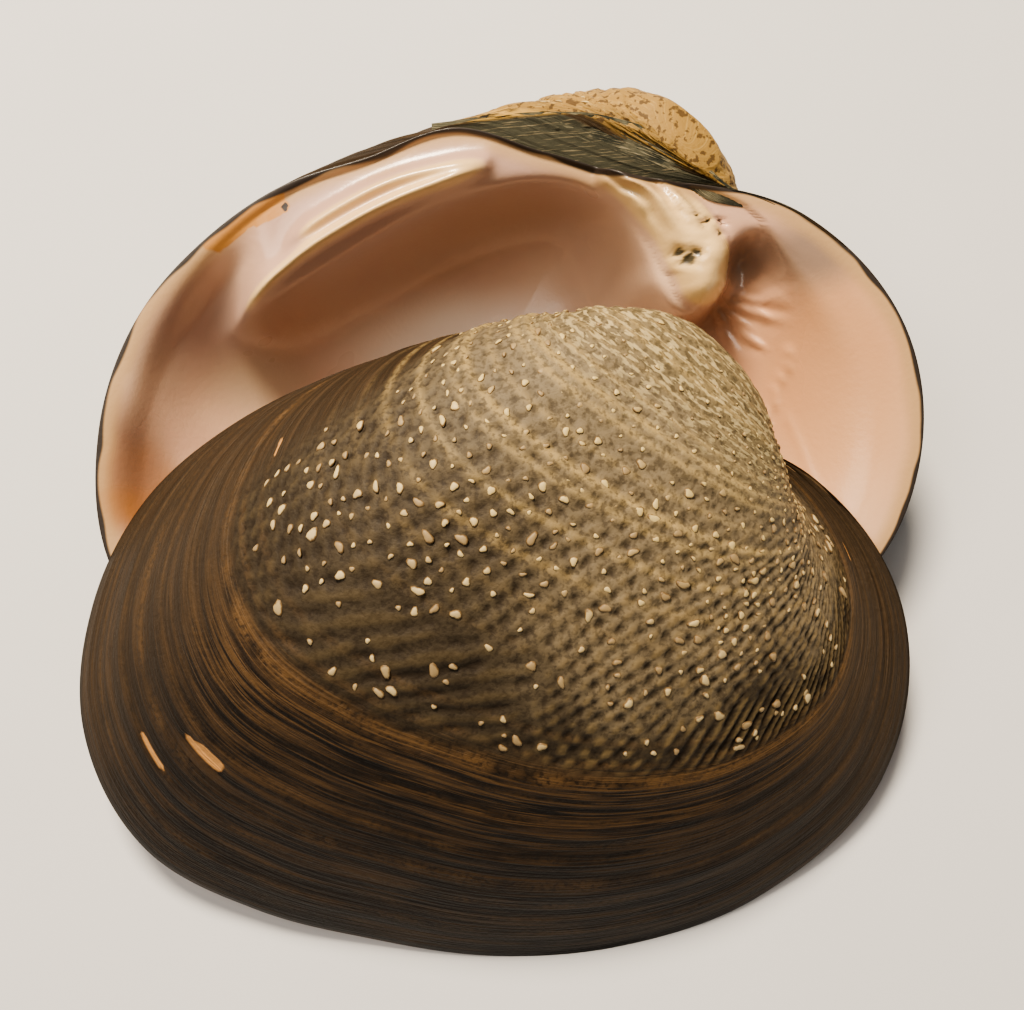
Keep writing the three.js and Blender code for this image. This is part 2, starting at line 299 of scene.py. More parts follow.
def outside_relief(theta, s):
    """Relief in mm and the named masks of the outside."""
    along, grown, angle, turn = skin_places(theta, s)
    zone = zone_mask(angle, s)
    worn = smooth(0.34, 0.17, s)
    pits, ridges = pit_pattern(along, grown, angle, s)
    strong = zone * (1 - 0.8 * smooth(0.45, 0.30, s))
    pits, ridges = pits * strong, ridges * strong
    gold = gold_mask(along, angle, s)
    chips, chip_depth = chip_mask(along, grown, angle)
    striae = 0.05 * noise(along / 22, grown / 1.1, 12) + 0.20 * noise(along / 34, grown / 3, 16)
    lumps = 0.14 * noise(along / 7, grown / 5, 13) * zone
    relief = (-0.23 * pits + 0.12 * ridges + growth_steps(along, angle, s)
              + striae * (1 - zone) - chip_depth + lumps
              + 0.12 * worn * layered(along / 1.2, grown / 0.8, 9))
    hinge_side = smooth(0.0, 5.0, np.abs((angle - HINGE_ANGLE + 180) % 360 - 180))
    fade = smooth(0.07, 0.10, s) * smooth(0.0, 0.012, 1 - s) * hinge_side
    masks = {"zone": zone, "gold": gold, "ridges": ridges, "pits": pits, "chips": chips,
             "stage": s + 0 * along, "turn": turn + 0 * s, "along": along, "angle": angle + 0 * s}
    return relief * fade, masks


# ---- inside and hinge
WALL_BACK = 3.0        # vertical wall near the rear
WALL_FRONT = 4.6       # vertical wall near the front
WALL_FROM_TO = (-50, 10)   # x over which the wall thickens
WALL_BLEND = 1.1       # roundness of the step from the rim into the hollow
RIM_WIDTH = 5.5        # width of the rim's slope into the hollow
PLATE_DEPTH = 0.7      # hinge plate below the edge plane
PLATE_REAR = (-63, -52)    # x over which the plate begins
CARDINAL_HEIGHT = 3.7
RIGHT_CARDINAL_HEIGHT = 3.0
SOCKET_DEPTH = 1.1
PLATE_EDGE = [(-66, -25), (-56, -20.9), (-48.6, -17.3), (-42, -14.2), (-35.4, -11.4),
              (-29, -9.4), (-20, -7.9), (-13.5, -8.4), (-9.0, -11), (-6.4, -14.6),
              (-4.6, -19), (-3.6, -23), (-1, -26.4), (2.6, -27), (5.9, -23.8),
              (6.6, -20.4), (7.8, -18.0), (10.4, -16.9), (16, -17.6)]
LATERALS = [
    {"path": [(-50, -12.7), (-42.5, -8.9), (-34.6, -6.2), (-23.5, -4.9)],
     "height": 2.2, "width": 1.3},
    {"path": [(-58.2, -21.4), (-50.0, -15.4), (-42.8, -11.6), (-34.9, -8.6), (-24, -6)],
     "height": 3.0, "width": 1.25},
]
RIGHT_LATERALS = [{"path": [(-53, -15.5), (-42.6, -10), (-25, -5.8)],
                   "height": 2.6, "width": 1.5}]
CARDINAL = [(-8.4, -8.6, 1.5), (-4.4, -11.0, 2.9), (-0.2, -15.2, 3.9), (2.0, -19.6, 4.2),
            (2.4, -22.6, 3.4)]
RIGHT_CARDINAL = [(-4.0, -12.0, 2.2), (-1.5, -16.0, 3.0), (-1.0, -19.0, 2.4)]
KNOB = (4.6, -19.4, 2.1, 1.1)          # x, y, size and height of the smooth front knob
SOCKETS = [(0.2, -20.0, 1.0), (1.3, -19.2, 0.7), (-0.9, -18.9, 0.7), (2.4, -15.9, 0.5),
           (3.3, -15.2, 0.4), (4.7, -16.9, 0.5), (5.4, -15.6, 0.35), (1.6, -14.9, 0.4)]
SCAR_PIT = (9.6, -20.9, 3.1, 2.6)      # x, y, size and depth of the hollow behind the knob
SCAR_FAN = (6.4, -25.0)
CREASES = [[(5.2, -24.8), (6.6, -27.2), (7.6, -28.6)],
           [(8.0, -28.0), (9.6, -30.4), (12.2, -32.6)],
           [(10.6, -26.8), (12.2, -28.2)]]
PATCH = [(-58.8, -11.6), (-54.2, -8.8), (-50.2, -7.5)]    # bare orange strip by the rim
NOTCH = (-49.4, -8.0, 0.7)             # x, y and size of the dark notch at its end
PALLIAL_KNOBS = [(14.2, -33.2), (14.0, -35.0), (13.2, -36.6), (12.4, -38.2), (12.2, -39.8),
                 (11.2, -41.0), (11.0, -42.6), (10.4, -44.2)]


def rounded(path, steps=6):
    """The same path with its corners rounded, through every point."""
    p = np.array(path, float)
    ends = np.vstack([2 * p[0] - p[1], p, 2 * p[-1] - p[-2]])
    out = []
    for k in range(len(p) - 1):
        a, b, c, d = ends[k:k + 4]
        for f in np.arange(steps) / steps:
            out.append(0.5 * (2 * b + (c - a) * f + (2 * a - 5 * b + 4 * c - d) * f ** 2
                              + (3 * b - a - 3 * c + d) * f ** 3))
    return np.array(out + [p[-1]])


def near_path(x, y, path):
    """Distance to a path, which side of it, and how far along it from 0 to 1."""
    best, side, part = np.full(x.shape, 1e9), np.ones(x.shape), np.zeros(x.shape)
    for k in range(len(path) - 1):
        (ax, ay), (bx, by) = path[k][:2], path[k + 1][:2]
        vx, vy = bx - ax, by - ay
        t = np.clip(((x - ax) * vx + (y - ay) * vy) / (vx * vx + vy * vy), 0, 1)
        dx, dy = x - ax - t * vx, y - ay - t * vy
        d = np.hypot(dx, dy)
        nearer = d < best
        best = np.where(nearer, d, best)
        side = np.where(nearer, np.sign(vx * dy - vy * dx), side)
        part = np.where(nearer, (k + t) / (len(path) - 1), part)
    return best, side, part


def inside_chain(x, y, chain):
    """Depth inside a chain of circles joined by tapers; negative is outside."""
    d, _, part = near_path(x, y, chain)
    radii = [r for _, _, r in chain]
    return np.interp(part, np.linspace(0, 1, len(radii)), radii) - d


def lateral_ridge(x, y, tooth):
    """Height of one long hinge tooth."""
    d, _, _ = near_path(x, y, rounded(tooth["path"]))
    x0, x1 = tooth["path"][0][0], tooth["path"][-1][0]
    fade = smooth(x0 - 1, x0 + 4, x) * smooth(x1 + 4, x1 - 5, x)
    crest = 1 / (1 + (d / tooth["width"]) ** 2) ** 1.6
    return tooth["height"] * fade * crest


def cardinal_mass(x, y, left):
    """Height of the big white tooth, and how far inside its outline a point is."""
    chain = inside_chain(x, y, rounded(CARDINAL if left else RIGHT_CARDINAL))
    height = CARDINAL_HEIGHT if left else RIGHT_CARDINAL_HEIGHT
    mass = height * np.sqrt(smooth(-0.5, 3.6, chain))
    arcs = np.hypot(x + 13.5, y + 20.0) + 0.5 * noise(x / 3, y / 3, 20)
    upper = smooth(-17.5, -13, y) * smooth(0.1, 1.6, chain)
    mass = mass + 0.60 * upper * np.sin(TAU * arcs / 2.5)
    edge = smooth(-2, 5, x + 0.6 * (y + 17)) * smooth(-21, -17, y)
    rough = 0.16 * layered(x / 2.2, y / 2.2, 21) + 0.22 * edge * noise(x / 0.5, y / 0.5, 22)
    mass = mass + smooth(0, 1.2, chain) * rough
    if left:
        kx, ky, size, swell = KNOB
        mass = mass + swell * np.exp(-(np.hypot(x - kx, y - ky) / size) ** 2)
    return mass, chain


def socket_mask(x, y):
    """Small dark pits of the white tooth, with ragged outlines."""
    dark = np.zeros(x.shape)
    wx, wy = 0.35 * noise(x / 0.9, y / 0.9, 23), 0.35 * noise(x / 0.9, y / 0.9, 24)
    for sx, sy, size in SOCKETS:
        reach = np.hypot(x + wx - sx, y + wy - sy) / size
        dark = np.maximum(dark, np.exp(-reach ** 2))
    return dark


def inner_surface(x, y, rim, left):
    """Height of the inside, positive towards the outside, and its named masks."""
    outer = outer_height(x, y)
    wall = WALL_BACK + (WALL_FRONT - WALL_BACK) * smooth(*WALL_FROM_TO, x)
    raw = outer - wall
    z = (raw + np.sqrt(raw ** 2 + 4 * WALL_BLEND ** 2)) / 2 * smooth(0.0, RIM_WIDTH, rim)
    px, py, size, depth = SCAR_PIT
    z = z + depth * np.exp(-(np.hypot(x - px, y - py) / size) ** 2) * smooth(2, 6, outer - 2)
    z = z + scar_relief(x, y)
    d, side, _ = near_path(x, y, rounded(PLATE_EDGE))
    beyond = (np.sqrt(d ** 2 + 0.36) - d * side) / 2
    fillet = 0.8 + 2.0 * smooth(3, -4, x) + 0.45 * np.maximum(0, x - 6)
    plate = np.exp(-beyond / fillet) * smooth(*PLATE_REAR, x)
    z = z * (1 - plate) + np.minimum(z, PLATE_DEPTH) * plate
    teeth = np.zeros(x.shape)
    for tooth in (LATERALS if left else RIGHT_LATERALS):
        teeth = teeth + lateral_ridge(x, y, tooth)
    mass, chain = cardinal_mass(x, y, left)
    sockets = socket_mask(x, y) if left else np.zeros(x.shape)
    z = z - teeth - mass + SOCKET_DEPTH * sockets
    tooth_mask = np.clip(smooth(-0.6, 1.0, chain) + 0.6 * smooth(1.0, 2.6, teeth), 0, 1)
    # painted shadow: a mask that fades from the hinge plate's edge into the hollow, where it
    # darkens the nacre
    plate_shadow = np.exp(-beyond / 7) * (1 - plate) * smooth(-60, -46, x) * smooth(3, -6, x)
    # painted shade: darkens the hinge plate between the teeth so that their crests stand out
    shelf_painted_shade = plate * smooth(-60, -50, x) * smooth(-6, -16, x) * (1 - tooth_mask)
    d, _, _ = near_path(x, y, PATCH)
    patch = smooth(1.5, 1.0, d + 0.35 * noise(x, y, 27))
    reach = np.hypot((x - NOTCH[0]) * 1.5, y - NOTCH[1]) / NOTCH[2]
    patch = np.maximum(patch, 2 * smooth(1.2, 0.6, reach))
    masks = {"rim": rim, "teeth": tooth_mask, "sockets": sockets, "plate_shadow": plate_shadow,
             "shelf_painted_shade": shelf_painted_shade, "patch": patch, "px": x, "py": y}
    return z, masks


def scar_relief(x, y):
    """Front muscle scar with its fan of ridges, and the dotted pallial line."""
    dx, dy = x - SCAR_FAN[0], y - SCAR_FAN[1]
    r, turn = np.hypot(dx, dy), np.arctan2(dy, dx)
    patch = (smooth(-1.75, -1.3, turn) * smooth(0.5, 0.0, turn) * smooth(0.6, 2.0, r)
             * smooth(9.5, 6.5, r))
    fan = 0.30 * np.sin(turn * 15 + 1.8 * noise(x / 2, y / 2, 25)) + 0.22 * layered(x, y, 26)
    relief = patch * fan
    for crease in CREASES:
        d, _, part = near_path(x, y, rounded(crease))
        ends = smooth(0, 0.3, part) * smooth(1, 0.8, part)
        relief = relief - 0.75 * np.exp(-(d / 0.42) ** 2) * ends
        relief = relief + 0.35 * np.exp(-(d / 1.1) ** 2) * ends
    for kx, ky in PALLIAL_KNOBS:
        reach = np.hypot(x - kx, (y - ky) * 0.7) / 0.55
        relief = relief - 0.60 * np.exp(-reach ** 2)
    line, _, _ = near_path(x, y, [(13.6, -42.0), (14.6, -46), (15.9, -53)])
    return relief - 0.20 * np.exp(-(line / 0.5) ** 2)


# ---- meshes
def valve_grid(left):
    """Rings of points from the beak over the edge to the middle of the inside."""
    size = LEFT_MESH if left else RIGHT_MESH
    theta = edge_columns(size)[None, :]
    s = np.interp(np.linspace(0, 1, size["outer"]), size["share"], size["lines"])[:, None]
    base = outer_point(theta, s)
    relief, outer_masks = outside_relief(theta, s)
    across = np.roll(base, -1, 1) - np.roll(base, 1, 1)
    down = np.gradient(base, axis=0)
    normal = np.cross(down, across)
    normal /= np.linalg.norm(normal, axis=-1, keepdims=True) + 1e-9
    outer = base + normal * relief[..., None]
    part = (np.arange(1, size["inner"] + 1) / size["inner"])[:, None]
    w = INNER_REACH * part ** INNER_CROWD
    mx, my = edge_point(theta)
    x, y = mx + w * (POLE_INSIDE[0] - mx), my + w * (POLE_INSIDE[1] - my)
    rim = w * np.hypot(POLE_INSIDE[0] - mx, POLE_INSIDE[1] - my)
    z, inner_masks = inner_surface(x, y, rim, left)
    inner = np.stack([x, y, z], -1)
    return outer, outer_masks, inner, inner_masks


def place(points, pose, flip):
    """Valve frame to the row frame, in metres, with nothing below the table."""
    turn = np.array(Euler([math.radians(a) for a in pose["turn"]], "XYZ").to_matrix())
    p = points * np.array([1, 1, -1 if flip else 1])
    p = p @ turn.T + np.array(pose["at"]) + np.array([*SET_BACK, 0])
    p[:, 2] = np.maximum(p[:, 2], 0)
    return p * MM


def fill_attribute(mesh, name, values):
    """Store one number for every vertex under a name that materials can read."""
    layer = mesh.attributes.new(name, "FLOAT", "POINT")
    layer.data.foreach_set("value", np.asarray(values, dtype=np.float32))


def ring_faces(rows, columns):
    """Quads between rings, and fans at both ends, as lists of vertex numbers."""
    i, j = np.meshgrid(np.arange(rows - 1), np.arange(columns), indexing="ij")
    k = (j + 1) % columns
    quads = np.stack([i * columns + j, i * columns + k,
                      (i + 1) * columns + k, (i + 1) * columns + j], -1).reshape(-1, 4)
    first, last = rows * columns, rows * columns + 1
    edge = (rows - 1) * columns
    fans = [(first, (n + 1) % columns, n) for n in range(columns)]
    fans += [(last, edge + n, edge + (n + 1) % columns) for n in range(columns)]
    return quads.tolist() + fans


def outward(points, faces):
    """The faces, turned round if they enclose a negative volume."""
    volume = 0.0
    for second, third in ((1, 2), (2, -1)):
        a, b, c = (points[[f[k] for f in faces]] for k in (0, second, third))
        volume += np.einsum("ij,ij->", a, np.cross(b, c))
    return faces if volume > 0 else [f[::-1] for f in faces]


def make_object(name, points, faces, materials, indices=None):
    """A smooth mesh object, with an index into its materials for every face."""
    mesh = bpy.data.meshes.new(name)
    mesh.from_pydata(points.tolist(), [], outward(points, faces))
    mesh.polygons.foreach_set("use_smooth", [True] * len(mesh.polygons))
    for material in materials:
        mesh.materials.append(material)
    if indices is not None:
        mesh.polygons.foreach_set("material_index", indices)
    obj = bpy.data.objects.new(name, mesh)
    bpy.context.scene.collection.objects.link(obj)
    return obj


def make_valve(name, left, pose, materials):
    """One half of the shell as a closed mesh: skin outside, nacre inside."""
    outer, outer_masks, inner, inner_masks = valve_grid(left)
    columns = outer.shape[1]
    outer_masks["px"], outer_masks["py"] = outer[..., 0], outer[..., 1]
    outer_masks["left"] = np.full(outer.shape[:2], float(left))
    grid = np.concatenate([outer, inner])
    points = np.concatenate([grid.reshape(-1, 3), grid[:1].mean(1), grid[-1:].mean(1)])
    rows = len(grid)
    faces = ring_faces(rows, columns)
    row_of = [f[0] // columns if len(f) == 4 else (0 if f[0] == rows * columns else rows)
              for f in faces]
    indices = [0 if r < len(outer) - 1 else 1 for r in row_of]
    obj = make_object(name, place(points, pose, left), faces, materials, indices)
    for key in {**outer_masks, **inner_masks}:
        known = key in outer_masks
        first = outer_masks[key] if known else inner_masks[key][:1] * (key != "rim")
        first = np.broadcast_to(first, outer.shape[:2])
        rest = inner_masks[key] if key in inner_masks else np.repeat(first[-1:], len(inner), 0)
        values = np.concatenate([first, rest]).ravel()
        fill_attribute(obj.data, key, np.concatenate([values, [values[0], values[-1]]]))
    return obj


# ---- knobs
KNOB_RINGS = ((1.0, -0.35), (0.93, 0.35), (0.72, 0.72), (0.40, 0.95))  # reach and height
KNOB_SIDES = 12
KNOB_FOOT = -0.3       # height of the middle of the underside
KNOBS_FROM = 0.16      # growth line where the knobs begin
KNOB_COLUMNS = 70      # lattice places on each side of the belly


def knob_density(along, grown, angle, s):
    """Share of the lattice places that hold a worn knob."""
    rear = np.exp(-((angle - 210) / 20) ** 2) * smooth(0.50, 0.55, s) * smooth(0.66, 0.62, s)
    middle = np.exp(-((angle - 246) / 34) ** 2) * np.exp(-((s - 0.44) / 0.10) ** 2)
    front = np.exp(-((angle - 312) / 34) ** 2) * np.exp(-((s - 0.42) / 0.14) ** 2)
    clumps = 1.4 + 1.4 * smooth(-0.3, 0.6, noise(along / 8, grown / 8, 17))
    upper = np.exp(-((angle - 205) / 32) ** 2) * np.exp(-((s - 0.42) / 0.12) ** 2)
    beak = 0.30 * smooth(0.42, 0.30, s)
    share = 0.10 + 0.52 * rear + 0.40 * middle + 0.32 * front + 0.46 * upper + beak
    return share * clumps


def knob_places(rng):
    """Edge angle and growth line of every worn knob."""
    rows = np.arange(int(0.15 * GROWTH_LENGTH / PIT_SPACING[1]),
                     int(ZONE_END * GROWTH_LENGTH / PIT_SPACING[1]))
    columns = np.arange(-KNOB_COLUMNS, KNOB_COLUMNS)
    row, column = (a.ravel().astype(float) for a in np.meshgrid(rows, columns))
    along = (column + 0.5 * (row % 2 == 0)) * PIT_SPACING[0]
    grown = row * PIT_SPACING[1]
    along, grown = (along - PIT_SPACING[0] * warp(along, grown, 1),
                    grown - PIT_SPACING[1] * warp(along, grown, 3))
    along = along + 0.5 * rng.uniform(-1, 1, along.shape)
    grown = grown + 0.45 * rng.uniform(-1, 1, along.shape)
    s = np.clip(grown / GROWTH_LENGTH, 0.1, 1)
    theta = angle_at(along, s)
    angle = open_angle(theta)
    keep = (rng.random(s.shape) < knob_density(along, grown, angle, s)) * (s > KNOBS_FROM)
    keep = keep * (np.abs(along) < LENGTH[-1] / 2 * s) * (zone_mask(angle, s) > 0.6)
    keep = keep.astype(bool)
    return theta[keep], s[keep]


def skin_frame(theta, s):
    """Point of the skin with its unit directions across and down the growth lines."""
    at = outer_point(theta, s)
    across = outer_point(theta + 0.002, s) - at
    down = outer_point(theta, s + 0.001) - at
    normal = np.cross(down, across)
    for axis in (across, down, normal):
        axis /= np.linalg.norm(axis, axis=-1, keepdims=True)
    relief = outside_relief(theta, s)[0]
    return at + normal * (relief[:, None] * 0.5), across, down, normal


def knob_outlines(rng, s):
    """Radius in mm, tone, and a lumpy outline of unit size for every knob."""
    count = len(s)
    size = (0.28 + 0.33 * rng.random(count) ** 2.2) * (0.95 + 0.15 * smooth(0.45, 0.6, s))
    size = size * (0.75 + 0.25 * smooth(0.26, 0.40, s))
    tone = rng.random(count)
    long = 1 + 0.7 * rng.random(count) ** 2
    spin = rng.normal(0, 0.5, count) + 0.5
    a = (np.arange(KNOB_SIDES) / KNOB_SIDES * TAU)[None, :] + 0 * size[:, None]
    lumpy = (1 + 0.16 * np.sin(2 * a + TAU * rng.random((count, 1)))
             + 0.13 * np.sin(3 * a + TAU * rng.random((count, 1))))
    u, v = np.cos(a) * lumpy * long[:, None], np.sin(a) * lumpy
    c, n = np.cos(spin)[:, None], np.sin(spin)[:, None]
    return size, tone, u * c - v * n, u * n + v * c


def make_knobs(name, left, pose, material):
    """Worn knobs of the outside as small lumpy domes along the skin."""
    rng = np.random.default_rng(29 if left else 23)
    theta, s = knob_places(rng)
    at, across, down, normal = skin_frame(theta, s)
    size, tone, u, v = knob_outlines(rng, s)
    rise = 0.12 + 0.24 * size
    parts, tops = [], []
    for reach, height in KNOB_RINGS:
        part = (across[:, None] * (u * size[:, None] * reach)[..., None]
                + down[:, None] * (v * size[:, None] * reach)[..., None]
                + normal[:, None] * (rise * height)[:, None, None])
        parts.append(at[:, None] + part)
        tops.append(np.full((len(s), KNOB_SIDES), height))
    low, high = at + normal * KNOB_FOOT * rise[:, None], at + normal * rise[:, None]
    points = np.concatenate(parts + [low[:, None], high[:, None]], 1)
    ends = np.broadcast_to([KNOB_FOOT, 1.0], (len(s), 2))
    faces = ring_faces(len(KNOB_RINGS), KNOB_SIDES)
    each = points.shape[1]
    every = [tuple(int(k) + each * n for k in f) for n in range(len(s)) for f in faces]
    obj = make_object(name, place(points.reshape(-1, 3), pose, left), every, [material])
    fill_attribute(obj.data, "top", np.concatenate(tops + [ends], 1).ravel())
    fill_attribute(obj.data, "stage", np.repeat(s, each))
    fill_attribute(obj.data, "tone", np.repeat(tone, each))
    return obj


# ---- ligament
BAND = [(-30, -0.2), (-24, -0.7), (-18, -1.4), (-10.6, -2.6), (-4.4, -4.6), (0.8, -7.4),
        (4.6, -11.4), (8.6, -13.4)]
BAND_HALF_WIDTH = [0.5, 1.1, 1.9, 2.4, 2.3, 2.1, 1.6, 0.7]
BAND_THICK = 1.9
BAND_GAP = 0.35
BAND_BASE = 0.25       # bulge of the strip's underside
BAND_FULL = 1.6        # half width from which the strip has its full thickness
BAND_STEPS = 220
BAND_SIDES = 64
BAND_ROUND = 20        # steps on each side over which the strip's corners are rounded
RUN_SCALE = 6          # the run attribute's units per point of BAND
RUN_END = 42.0


def band_centre(t, k):
    """The strip's middle line, its corners rounded."""
    sharp = [np.interp(t, k, [p[n] for p in BAND]) for n in (0, 1)]
    kernel = np.hanning(2 * BAND_ROUND + 1)
    kernel = kernel / kernel.sum()
    padded = [np.pad(line, BAND_ROUND, "reflect", reflect_type="odd") for line in sharp]
    return np.stack([np.convolve(line, kernel, "valid") for line in padded], -1)


def make_ligament(material):
    """The dried ligament: a lens-shaped strip along the hinge, with fibres as relief."""
    k = np.arange(len(BAND))
    t = np.linspace(0, len(BAND) - 1, BAND_STEPS)
    centre = band_centre(t, k)
    width = np.interp(t, k, BAND_HALF_WIDTH)
    direction = np.gradient(centre, axis=0)
    direction /= np.linalg.norm(direction, axis=1, keepdims=True)
    normal = np.stack([-direction[:, 1], direction[:, 0]], -1)
    a = np.linspace(0, TAU, BAND_SIDES, endpoint=False)
    across = np.cos(a)[None, :] * width[:, None]
    up = (np.where(np.sin(a) > 0, BAND_THICK, BAND_BASE) * np.sin(a))[None, :]
    up = up * np.minimum(1, width / BAND_FULL)[:, None]
    run = np.broadcast_to(t[:, None] * RUN_SCALE, across.shape)
    fibre = layered(run / 2.6, across * 3.1 + run * 0.12, 30)
    strand = np.sin(across * 9 + 2.5 * noise(run / 3, across, 31))
    top = (np.sin(a) > 0.05)[None, :]
    up = up + top * (0.16 * fibre + 0.07 * strand)
    points = np.stack([centre[:, :1] + normal[:, :1] * across,
                       centre[:, 1:] + normal[:, 1:] * across,
                       -(BAND_GAP + BAND_BASE + up)], -1)
    ends = np.concatenate([points[:1].mean(1), points[-1:].mean(1)])
    flat = np.concatenate([points.reshape(-1, 3), ends])
    obj = make_object("ligament_look", place(flat, LEFT_POSE, False),
                      ring_faces(BAND_STEPS, BAND_SIDES), [material])
    for key, value in (("run", run), ("across", across)):
        values = value.ravel()
        fill_attribute(obj.data, key, np.concatenate([values, [values[0], values[-1]]]))
    return obj


# ---- materials
ANGLE_SPAN = 500.0     # degrees


class Graph:
    """Short helpers that add nodes to one material."""

    def __init__(self, name):
        self.material = bpy.data.materials.new(name)
        self.material.use_nodes = True
        self.nodes = self.material.node_tree.nodes
        self.links = self.material.node_tree.links
        self.shader = self.nodes["Principled BSDF"]

    def link(self, value, socket):
        if isinstance(value, bpy.types.NodeSocket):
            self.links.new(value, socket)
        else:
            socket.default_value = value

    def feed(self, name, value):
        """Link or set one input of the shader."""
        self.link(value, self.shader.inputs[name])

    def attribute(self, name):
        node = self.nodes.new("ShaderNodeAttribute")
        node.attribute_name = name
        return node.outputs["Fac"]

    def math(self, operation, a, b=0.0, clamp=False):
        node = self.nodes.new("ShaderNodeMath")
        node.operation, node.use_clamp = operation, clamp
        self.link(a, node.inputs[0])
        self.link(b, node.inputs[1])
        return node.outputs[0]

    def times(self, a, b, clamp=False):
        return self.math("MULTIPLY", a, b, clamp)

    def plus(self, a, b):
        return self.math("ADD", a, b)

    def less(self, a, b):
        return self.math("SUBTRACT", a, b)

    def over(self, a, b):
        return self.math("DIVIDE", a, b)

    def angle_share(self):
        """Edge angle as a share of ANGLE_SPAN, for ramps."""
        return self.over(self.attribute("angle"), ANGLE_SPAN)

    def vector(self, x, y, z=0.0):
        node = self.nodes.new("ShaderNodeCombineXYZ")
        for socket, value in zip(node.inputs, (x, y, z)):
            self.link(value, socket)
        return node.outputs[0]

    def place(self, scale):
        """Object coordinates times a scale per metre."""
        where = self.nodes.new("ShaderNodeTexCoord").outputs["Object"]
        node = self.nodes.new("ShaderNodeVectorMath")
        node.operation = "SCALE"
        self.link(where, node.inputs[0])
        node.inputs["Scale"].default_value = scale
        return node.outputs[0]

    def noise(self, vector, detail=3.0, roughness=0.55):
        node = self.nodes.new("ShaderNodeTexNoise")
        node.inputs["Scale"].default_value = 1.0
        node.inputs["Detail"].default_value = detail
        node.inputs["Roughness"].default_value = roughness
        self.link(vector, node.inputs["Vector"])
        return node.outputs["Fac"]

    def ramp(self, value, *stops):
        """Maps a value through (position, grey or colour) stops."""
        node = self.nodes.new("ShaderNodeValToRGB")
        node.color_ramp.interpolation = "EASE"
        elements = node.color_ramp.elements
        while len(elements) < len(stops):
            elements.new(0.5)
        for element, (position, colour) in zip(elements, stops):
            element.position = position
            grey = not isinstance(colour, tuple)
            element.color = (colour, colour, colour, 1) if grey else (*colour, 1)
        self.link(value, node.inputs[0])
        return node.outputs[0]

    def mix(self, factor, a, b):
        node = self.nodes.new("ShaderNodeMix")
        node.data_type = "RGBA"
        self.link(factor, node.inputs[0])
        for value, socket in ((a, node.inputs[6]), (b, node.inputs[7])):
            self.link((*value, 1) if isinstance(value, tuple) else value, socket)
        return node.outputs[2]

    def bump(self, height, distance, normal=None):
        node = self.nodes.new("ShaderNodeBump")
        node.inputs["Strength"].default_value = 1.0
        node.inputs["Distance"].default_value = distance
        self.link(height, node.inputs["Height"])
        if normal is not None:
            self.link(normal, node.inputs["Normal"])
        return node.outputs[0]


BAND_DARK = (0.006, 0.004, 0.003)
BAND_BROWN = (0.046, 0.027, 0.014)
BAND_GOLD = (0.115, 0.064, 0.026)
BAND_ENDS = (0.086, 0.056, 0.030)
ZONE_BROWN = (0.042, 0.031, 0.019)
ZONE_OLIVE = (0.195, 0.152, 0.095)
# painted highlight: gold on the raised ridges of the disc
RIDGE_PAINTED_HIGHLIGHT = (0.26, 0.185, 0.085)
ZONE_TAN = (0.19, 0.145, 0.078)
# dark grains of the disc, and the painted shade in its pits
DARK_GRAIN_AND_PIT_SHADE = (0.016, 0.010, 0.006)
GOLD = (0.38, 0.275, 0.12)
KNOB_CREAM = (0.54, 0.43, 0.225)
KNOB_GOLD = (0.58, 0.45, 0.20)
KNOB_DULL = (0.30, 0.215, 0.110)
KNOB_SIDE = (0.16, 0.10, 0.045)
CHIP_TAN = (0.46, 0.24, 0.09)
BEAK_PIT = (0.085, 0.048, 0.022)
BROKEN_GOLD = (0.60, 0.37, 0.10)
TORN_PALE = (0.56, 0.39, 0.15)
FIBRE_DARK = (0.072, 0.069, 0.046)
FIBRE_PALE = (0.38, 0.31, 0.19)
BEAK_TAN = (0.33, 0.20, 0.060)


def growth_lines(g, scale_round, scale_out, detail=3.0):
    """Noise drawn out along the growth lines, without a seam."""
    turn, grown = g.attribute("turn"), g.attribute("stage")
    return g.noise(g.vector(g.times(g.math("COSINE", turn), scale_round),
                            g.times(g.math("SINE", turn), scale_round),
                            g.times(grown, scale_out)), detail, 0.6)


def torn_gold(g, x, y):
    """Broken golden layers with dark gaps."""
    layers = g.noise(g.vector(g.times(x, 0.16), g.times(y, 1.7)), 4.0, 0.6)
    torn = g.mix(g.ramp(layers, (0.42, 0.0), (0.50, 1.0)), BAND_DARK, BROKEN_GOLD)
    return g.mix(g.ramp(layers, (0.58, 0.0), (0.68, 0.8)), torn, TORN_PALE)


def pitted_tan(g, streaks):
    """The worn beak: tan with pale streaks and brown pits."""
    tan = g.mix(g.ramp(streaks, (0.50, 0.0), (0.66, 0.35)), BEAK_TAN, TORN_PALE)
    pitted = g.noise(g.place(1100.0), 2.0)
    return g.mix(g.ramp(pitted, (0.38, 0.85), (0.46, 0.0)), tan, BEAK_PIT)


